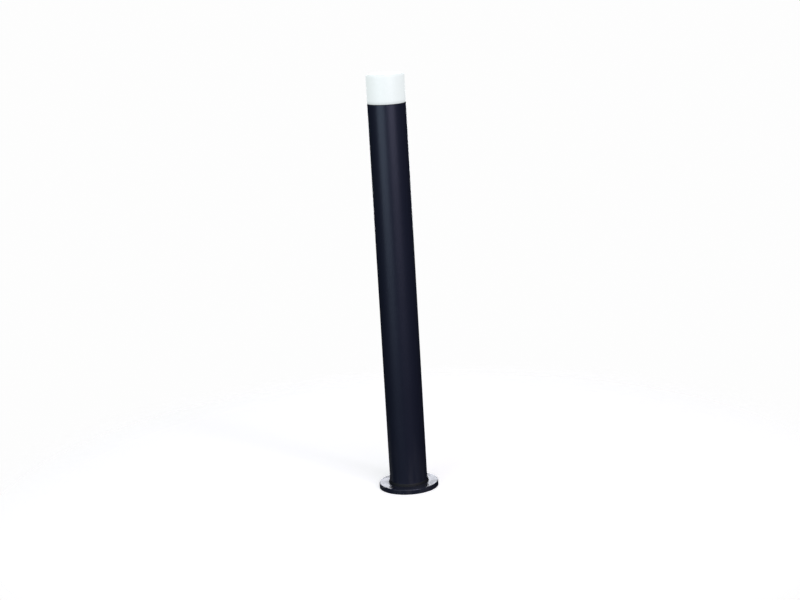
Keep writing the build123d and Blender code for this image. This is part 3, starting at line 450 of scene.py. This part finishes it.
def brushed(name, base, roughness, squeeze):
    """Turned or brushed metal: fine scratches, thin along the squeezed axes, and faint smears."""
    coat = Coat(name)
    lines = coat.noise(1.2 * MM, detail=4.0, place=coat.stretched(*squeeze))
    smear = coat.noise(18 * MM, detail=3.0)
    colour = coat.mix(lines, tint(base, 0.86), tint(base, 1.08))
    rough = lines * 0.14 + smear * 0.10 + roughness
    return coat.finish(Base_Color=colour, Metallic=1.0, Roughness=rough,
                       Normal=coat.bump(lines, 0.012 * MM, 0.6))


def galvanised():
    """Hot-dip zinc: crystals of slightly different greys, white bloom and dull runs."""
    settings = bpy.context.scene.bollard_finish
    coat = Coat("galvanised_steel")
    cells = coat.node("ShaderNodeTexVoronoi", {}, {
        "Vector": coat.place, "Scale": 1 / settings.spangle_size}, output="Color")
    shade = coat.node("ShaderNodeSeparateColor", {}, {"Color": cells}, output="Red")
    bloom = coat.noise(45 * MM, detail=5.0)
    fine = coat.noise(0.9 * MM, detail=3.0)
    colour = coat.mix(shade, (0.50, 0.52, 0.54), (0.70, 0.72, 0.74))
    white = coat.band(bloom, 0.48, 0.72)
    colour = coat.mix(white * 0.5, colour, (0.72, 0.73, 0.72))
    rough = shade * 0.16 + white * 0.20 + 0.38
    return coat.finish(Base_Color=colour, Metallic=0.62 - white * 0.30, Roughness=rough,
                       Normal=coat.bump(fine + shade * 0.6, 0.04 * MM, 0.5))


def weld_metal():
    """Zinc-coated weld bead: duller and browner than the sheet."""
    coat = Coat("weld_metal")
    heat = coat.noise(6 * MM, detail=3.0)
    fine = coat.noise(0.7 * MM, detail=3.0)
    colour = coat.mix(heat, (0.40, 0.39, 0.37), (0.56, 0.56, 0.56))
    return coat.finish(Base_Color=colour, Metallic=0.5, Roughness=fine * 0.15 + 0.42,
                       Normal=coat.bump(fine, 0.08 * MM, 0.7))


def cast_aluminium():
    """Sand-blasted casting with a fine, even grain."""
    coat = Coat("cast_aluminium")
    grain = coat.noise(0.7 * MM, detail=2.0)
    cloud = coat.noise(28 * MM, detail=3.0)
    colour = coat.mix(cloud, (0.52, 0.53, 0.54), (0.66, 0.67, 0.68))
    return coat.finish(Base_Color=colour, Metallic=1.0, Roughness=grain * 0.12 + cloud * 0.08 + 0.38,
                       Normal=coat.bump(grain, 0.05 * MM, 0.7))


def moulded(name, base, roughness):
    """Machined or moulded engineering plastic with light tool marks."""
    coat = Coat(name)
    marks = coat.noise(1.0 * MM, detail=3.0, place=coat.stretched(0.2, 0.2, 3.0))
    cloud = coat.noise(30 * MM, detail=2.0)
    colour = coat.mix(cloud * 0.6 + marks * 0.3, tint(base, 0.88), tint(base, 1.08))
    return coat.finish(Base_Color=colour, Roughness=marks * 0.14 + roughness,
                       Normal=coat.bump(marks, 0.02 * MM, 0.5))


def chromed():
    """Hard chrome on the gas spring's rod, with faint wiping marks along it."""
    coat = Coat("chromed_rod")
    wipe = coat.noise(1.5 * MM, detail=3.0, place=coat.stretched(1, 1, 0.05))
    colour = coat.mix(wipe, (0.74, 0.75, 0.77), (0.82, 0.83, 0.85))
    return coat.finish(Base_Color=colour, Metallic=1.0, Roughness=wipe * 0.06 + 0.07)


def painted_black(name):
    """Thin black paint or black oxide: dark, low sheen, a little uneven."""
    coat = Coat(name)
    cloud = coat.noise(5 * MM, detail=3.0)
    grain = coat.noise(0.4 * MM, detail=2.0)
    colour = coat.mix(cloud, (0.016, 0.017, 0.020), (0.034, 0.035, 0.040))
    return coat.finish(Base_Color=colour, Metallic=0.35, Roughness=grain * 0.14 + cloud * 0.10 + 0.34,
                       Normal=coat.bump(grain, 0.02 * MM, 0.5))


def cable_jacket():
    """Soft polyurethane jacket with a silky grain."""
    coat = Coat("cable_jacket")
    grain = coat.noise(0.6 * MM, detail=2.0)
    dust = coat.noise(9 * MM, detail=4.0)
    colour = coat.mix(coat.band(dust, 0.45, 0.8) * 0.4, (0.026, 0.026, 0.030), (0.075, 0.074, 0.072))
    return coat.finish(Base_Color=colour, Roughness=grain * 0.12 + dust * 0.10 + 0.40,
                       Normal=coat.bump(grain, 0.03 * MM, 0.6))


def lamp_board():
    """White solder mask with the faint weave of the glass cloth under it."""
    coat = Coat("lamp_board")
    weave = coat.node("ShaderNodeTexWave", {"wave_type": "BANDS"}, {
        "Vector": coat.place, "Scale": 220.0, "Distortion": 0.6})
    cloud = coat.noise(6 * MM, detail=2.0)
    colour = coat.mix(weave * 0.5 + cloud * 0.3, (0.76, 0.77, 0.75), (0.86, 0.87, 0.85))
    return coat.finish(Base_Color=colour, Roughness=cloud * 0.1 + 0.28,
                       Normal=coat.bump(weave, 0.01 * MM, 0.4))


def phosphor():
    """Yellow phosphor gel of the light-emitting chips."""
    coat = Coat("phosphor")
    gel = coat.noise(1.2 * MM, detail=2.0)
    colour = coat.mix(gel, (0.80, 0.62, 0.12), (0.90, 0.76, 0.26))
    return coat.finish(Base_Color=colour, Roughness=gel * 0.1 + 0.25, Coat_Weight=0.3)


RECIPES = {
    "powder_coat": powder_coat,
    "opal": opal,
    "seal_rubber": lambda: rubber("seal_rubber", (0.007, 0.009, 0.012), 0.55),
    "buffer_rubber": lambda: rubber("buffer_rubber", (0.022, 0.022, 0.022), 0.60),
    "stainless": lambda: brushed("stainless_steel", (0.60, 0.60, 0.59), 0.22, (1, 1, 8)),
    "spring_steel": lambda: brushed("bright_steel", (0.48, 0.49, 0.50), 0.26, (6, 6, 1)),
    "gland_brass": lambda: brushed("brass", (0.72, 0.56, 0.28), 0.24, (1, 1, 8)),
    "galvanised": galvanised,
    "weld_metal": weld_metal,
    "cast_aluminium": cast_aluminium,
    "acetal": lambda: moulded("acetal", (0.78, 0.77, 0.72), 0.34),
    "black_acetal": lambda: moulded("black_acetal", (0.035, 0.035, 0.038), 0.36),
    "chromed_rod": chromed,
    "black_screw": lambda: painted_black("black_oxide"),
    "cylinder_paint": lambda: painted_black("cylinder_paint"),
    "cable_jacket": cable_jacket,
    "board_mask": lamp_board,
    "led_phosphor": phosphor,
}
MADE = {}


def finish(name):
    """The material of that name, made once."""
    if name not in MADE:
        MADE[name] = RECIPES[name]()
    return MADE[name]


# Operators: one for each piece or group of like pieces

class BOLLARD_OT_finishes(bpy.types.Operator):
    """Gives every node of the frame the finish of its material slot"""

    bl_idname = "bollard.finishes"
    bl_label = "Finish the frame's nodes"

    def execute(self, context):
        for node, item in NODES.items():
            item.data.materials.clear()
            item.data.materials.append(finish(SLOT_OF[node]))
        return {"FINISHED"}


class BOLLARD_OT_opal_crown(bpy.types.Operator):
    """Makes the frosted crown as a turned shell with a soft top edge and a slight dome

    The roof falls away with the square of the reach: z = top - dome (r / R)^2. The last corner of
    the outside and of the inside only gives the corner before it its direction.
    """

    bl_idname = "bollard.opal_crown"
    bl_label = "Opal crown"

    def execute(self, context):
        settings = context.scene.bollard_pieces
        low, high = (tuple(map(float, corner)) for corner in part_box("opal_crown"))
        foot = float(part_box("crown_gasket")[1][2])
        spigot = float(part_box("head_plug")[1][0])
        wall, edge, dome = settings.crown_wall, settings.crown_edge, settings.crown_dome
        bottom, outer, top = low[2], high[0], high[2]
        brim, under = top - dome, top - dome - wall
        bore, room, shoulder = spigot - wall, outer - wall, foot + wall
        outside = [(bore, bottom), (spigot, bottom), (spigot, foot), (outer, foot), (outer, brim), (0, brim)]
        skin = rounded(outside, [0.4 * MM, 0.4 * MM, 0, 0.3 * MM, edge, 0], steps=10)[:-1]
        reach = np.linspace(outer - edge - 1 * MM, 0, 12)[:, None]
        roof = np.hstack([reach, top - dome * (reach / outer) ** 2])
        inside = [(0, under), (room, under), (room, shoulder), (bore, shoulder), (bore, bottom)]
        ceiling = rounded(inside, [0, 1.6 * MM, 0.8 * MM, 0, 0], steps=6)[:-1]
        shape = turned(np.concatenate([skin, roof, ceiling]), settings.steps_round)
        add_piece("crown_shell", shape, "post", "opal", stands_for=["opal_crown"])
        return {"FINISHED"}


class BOLLARD_OT_lamp_lead(bpy.types.Operator):
    """Winds the coiled lamp lead between the casing's floor and the post's bracket

    It is a tube along a helix, x = R cos a, y = R sin a, whose height rises evenly with a.
    """

    bl_idname = "bollard.lamp_lead"
    bl_label = "Coiled lamp lead"

    def execute(self, context):
        settings = context.scene.bollard_pieces
        low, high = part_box("spiral_cable")
        radius, turns = settings.lead_radius, settings.lead_turns
        middle = float(high[0]) - radius
        angle = np.linspace(0, TURN * turns, turns * LEAD_STEPS + 1)
        start, end = low[2] + LEAD_END * radius, high[2] - LEAD_END * radius
        rise = start + (end - start) * angle / angle[-1]
        path = np.stack([middle * np.cos(angle), middle * np.sin(angle), rise], -1)
        lead = add_piece("lamp_lead_coil", tube_along(path, radius, LEAD_SIDES), "root", "cable_jacket",
                         stands_for=["spiral_cable"])
        stroke = -JOINTS["post_lift"]["range_m"][0]
        length = high[2] - low[2]
        float((length - stroke) / length)
        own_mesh(lead)
        return {"FINISHED"}


class BOLLARD_OT_weld_beads(bpy.types.Operator):
    """Lays weld beads round the casing's base plate, its drain spigot and its anchor lugs"""

    bl_idname = "bollard.weld_beads"
    bl_label = "Weld beads"

    def execute(self, context):
        radius = context.scene.bollard_pieces.bead_radius
        casing = float(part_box("casing_tube")[1][0])
        base_height = float(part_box("casing_tube")[0][2])
        self.add("base_weld", self.ring(casing, 0, base_height, radius))
        left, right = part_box("drain_spigot")
        spigot, middle = float(right[0] - left[0]) / 2, float(right[1] + left[1]) / 2
        underside = float(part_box("base_plate")[0][2])
        self.add("spigot_weld", self.ring(spigot, middle, underside, SPIGOT_BEAD * radius))
        beads = [self.upright(side * half, turn, casing, low, high, LUG_BEAD * radius)
                 for turn, half, low, high in self.lugs() for side in (-1, 1)]
        self.add("lug_welds", joined(*beads))
        return {"FINISHED"}

    def add(self, name, shape):
        """One weld, fixed to the casing."""
        add_piece(name, shape, "root", "weld_metal")

    def ripple(self, run, waves):
        """Half width of a hand-laid bead along its run t: 1 + 0.09 sin(n t) + 0.05 sin(5 t + 1)."""
        return 1 + 0.09 * np.sin(run * waves) + 0.05 * np.sin(run * 5 + 1)

    def ring(self, reach, offset, height, radius):
        """A bead round the Z axis, or round a line beside it: x = R cos t, y = offset + R sin t."""
        angle = np.linspace(0, TURN, RING_POINTS, endpoint=False)
        path = np.stack([reach * np.cos(angle), offset + reach * np.sin(angle), height + 0 * angle], -1)
        waves = round(TURN * reach / RIPPLE_LENGTH)
        return tube_along(path, radius * self.ripple(angle, waves), BEAD_SIDES, closed=True)

    def upright(self, side, turn, casing, low, high, radius):
        """A bead up the casing, to one side of a lug: x and y stay, and z runs from low to high.

        Its half width narrows to its ends as the root of 1.02 - s^8, with s from -1 to 1.
        """
        height = np.linspace(low, high, UPRIGHT_POINTS)
        out = math.sqrt(casing ** 2 - side ** 2)
        x, y = out * math.cos(turn) - side * math.sin(turn), out * math.sin(turn) + side * math.cos(turn)
        path = np.stack([x + 0 * height, y + 0 * height, height], -1)
        share = np.linspace(-1, 1, UPRIGHT_POINTS)
        ends = np.sqrt(1.02 - share ** 8)
        run = TURN * (height - low) / (high - low)
        width = radius * self.ripple(run, round((high - low) / RIPPLE_LENGTH)) * ends
        return tube_along(path, width, BEAD_SIDES, level_to=(1.0, 0, 0))

    def lugs(self):
        """Each anchor lug's turn about the post, half its thickness and its two heights."""
        mesh = NODES["anchor_lugs"].data
        points = np.empty(3 * len(mesh.vertices))
        mesh.vertices.foreach_get("co", points)
        points = points.reshape(-1, 3)
        reach = float(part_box("anchor_lugs")[1][0])
        found = []
        for turn in np.arange(LUG_COUNT) * TURN / LUG_COUNT:
            mine = points[points @ (math.cos(turn), math.sin(turn), 0) > 0.95 * reach]
            half = float(np.abs(mine @ (-math.sin(turn), math.cos(turn), 0)).max())
            found.append((turn, half, float(mine[:, 2].min()), float(mine[:, 2].max())))
        return found


class BOLLARD_OT_stage(bpy.types.Operator):
    """Sets the floor, the lights, the backdrop and the camera"""

    bl_idname = "bollard.stage"
    bl_label = "Stage"

    def execute(self, context):
        settings = context.scene.bollard_stage
        self.floor(settings)
        self.world(context.scene)
        self.lights()
        self.camera(context.scene, settings)
        return {"FINISHED"}

    def floor(self, settings):
        """A flat round floor, x = r cos t, y = r sin t, with a hole for the casing."""
        hole = float(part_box("casing_tube")[1][0]) + FLOOR_GAP
        radius = np.geomspace(hole, settings.floor_radius, FLOOR_RINGS)[:, None]
        angle = np.linspace(0, TURN, FLOOR_SIDES, endpoint=False)
        across, ahead = radius * np.cos(angle), radius * np.sin(angle)
        points = np.stack([across, ahead, np.full_like(across, -FLOOR_DROP)], -1).reshape(-1, 3)
        mesh = bpy.data.meshes.new("floor")
        mesh.from_pydata(points.tolist(), [], grid_faces(FLOOR_RINGS, FLOOR_SIDES, False, True).tolist())
        mesh.materials.append(self.floor_finish(settings))
        floor = bpy.data.objects.new("floor", mesh)
        floor.visible_diffuse = False
        floor.visible_glossy = False
        bpy.context.scene.collection.objects.link(floor)

    def floor_finish(self, settings):
        """Matt and nearly white, glowing a little, and fading out towards its rim."""
        coat = Coat("floor_finish")
        base = tuple(settings.floor_colour)
        distance = coat.node("ShaderNodeVectorMath", {"operation": "LENGTH"}, {0: coat.place},
                             output="Value")
        fade = 1 - coat.band(distance, 0.62 * settings.floor_radius, 0.98 * settings.floor_radius)
        fine = coat.noise(30 * MM, detail=2.0)
        colour = coat.mix(fine, tint(base, 0.995), base)
        return coat.finish(Base_Color=colour, Roughness=0.9, Alpha=fade, Specular_IOR_Level=0.1,
                           Emission_Color=(1.0, 1.0, 1.0), Emission_Strength=0.55)

    def world(self, scene):
        """A white backdrop for the camera, and a dimmer surround for everything else."""
        world = bpy.data.worlds.new("studio")
        scene.world = world
        world.use_nodes = True
        studio = Nodes(world.node_tree)
        surround = studio.tree.nodes["Background"]
        studio.feed(surround.inputs["Color"], (0.014, 0.016, 0.022))
        dim = Wire(studio, surround.outputs[0])
        white = studio.node("ShaderNodeBackground", {}, {"Color": (0.985, 0.985, 0.985)})
        seen = studio.node("ShaderNodeLightPath", {}, {}, output="Is Camera Ray")
        chosen = studio.node("ShaderNodeMixShader", {}, {0: seen, 1: dim, 2: white})
        studio.feed(studio.tree.nodes["World Output"].inputs["Surface"], chosen)
        scene.view_settings.view_transform = "Standard"

    def lights(self):
        """Panels in front, on top and behind, and low ones for the unit under the floor."""
        self.panel("right_light", (1.15, -2.55, 1.40), (0, 0, 0.45), 2.1, 1.9, 36, (0.96, 0.87, 1.0))
        self.panel("left_light", (-1.70, -2.1, 0.95), (0, 0, 0.40), 2.3, 1.8, 24, (0.82, 0.95, 1.0))
        self.panel("strip_light", (1.75, -1.95, 1.9), (0, 0, 0.8), 0.4, 0.9, 8, (1.0, 0.95, 1.0))
        self.panel("top_light", (0.0, -0.4, 2.6), (0, 0, 0), 1.6, 1.6, 18, (1.0, 1.0, 1.0))
        self.panel("back_light", (0, 2.9, 1.02), (0, 0, 0.0), 0.9, 0.7, 14, (0.95, 0.95, 1.0))
        self.panel("rear_light", (0, 2.7, 0.3), (0, 0, 0.4), 1.6, 0.5, 16, (0.92, 0.95, 1.0))
        self.panel("low_right_light", (0.95, -0.65, -0.40), (0, 0, -0.86), 0.9, 0.7, 3, (1.0, 1.0, 1.0),
                   LOW_SPREAD)
        self.panel("low_left_light", (-0.95, 0.70, -0.40), (0, 0, -0.86), 0.9, 0.7, 3, (1.0, 1.0, 1.0),
                   LOW_SPREAD)

    def panel(self, name, spot, target, width, height, watts, colour, spread=math.pi):
        """A rectangle of light at a spot that faces a target; a small spread keeps it in a cone."""
        light = bpy.data.lights.new(name, "AREA")
        light.spread = spread
        light.shape, light.size, light.size_y = "RECTANGLE", width, height
        light.energy, light.color = watts, colour
        item = bpy.data.objects.new(name, light)
        item.location = spot
        item.rotation_euler = (Vector(target) - Vector(spot)).to_track_quat("-Z", "Y").to_euler()
        item.visible_camera = False
        bpy.context.scene.collection.objects.link(item)

    def camera(self, scene, settings):
        """A long lens from the front and above, rolled a little so that the post leans left."""
        data = bpy.data.cameras.new("camera")
        data.lens, data.sensor_width = settings.lens, 36.0
        data.clip_start, data.clip_end = 0.05, 60.0
        item = bpy.data.objects.new("camera", data)
        spot = Vector((0, -settings.camera_distance, settings.camera_height))
        target = Vector((settings.aim_side, 0, settings.aim_height))
        turn = (target - spot).to_track_quat("-Z", "Y").to_matrix()
        turn = turn @ Matrix.Rotation(-settings.camera_roll, 3, "Z")
        item.matrix_world = Matrix.Translation(spot) @ turn.to_4x4()
        scene.collection.objects.link(item)
        scene.camera = item


class BOLLARD_PT_panel(bpy.types.Panel):
    """Lists the bollard's settings and pieces"""

    bl_idname = "BOLLARD_PT_panel"
    bl_label = "Bollard"
    bl_space_type = "VIEW_3D"
    bl_region_type = "UI"
    bl_category = "Bollard"

    def draw(self, context):
        scene = context.scene
        for group in (scene.bollard_finish, scene.bollard_pieces, scene.bollard_stage):
            column = self.layout.column(align=True)
            for name in type(group).__annotations__:
                column.prop(group, name)
        for operator in OPERATORS:
            self.layout.operator(operator.bl_idname)


OPERATORS = (BOLLARD_OT_finishes, BOLLARD_OT_opal_crown, BOLLARD_OT_lamp_lead, BOLLARD_OT_weld_beads,
             BOLLARD_OT_stage)
GROUPS = {"bollard_finish": FinishSettings, "bollard_pieces": PieceSettings, "bollard_stage": StageSettings}


def register():
    """Adds the classes and the settings to Blender."""
    for group in GROUPS.values():
        bpy.utils.register_class(group)
    for name, group in GROUPS.items():
        setattr(bpy.types.Scene, name, PointerProperty(type=group))
    for item in (*OPERATORS, BOLLARD_PT_panel):
        bpy.utils.register_class(item)


def unregister():
    """Takes them away again."""
    for item in (BOLLARD_PT_panel, *reversed(OPERATORS)):
        bpy.utils.unregister_class(item)
    for name in GROUPS:
        delattr(bpy.types.Scene, name)
    for group in GROUPS.values():
        bpy.utils.unregister_class(group)


def main():
    """Builds the finished bollard and its stage."""
    register()
    bpy.ops.bollard.finishes()
    bpy.ops.bollard.opal_crown()
    bpy.ops.bollard.lamp_lead()
    bpy.ops.bollard.weld_beads()
    bpy.ops.bollard.stage()


if __name__ == "__main__":
    main()
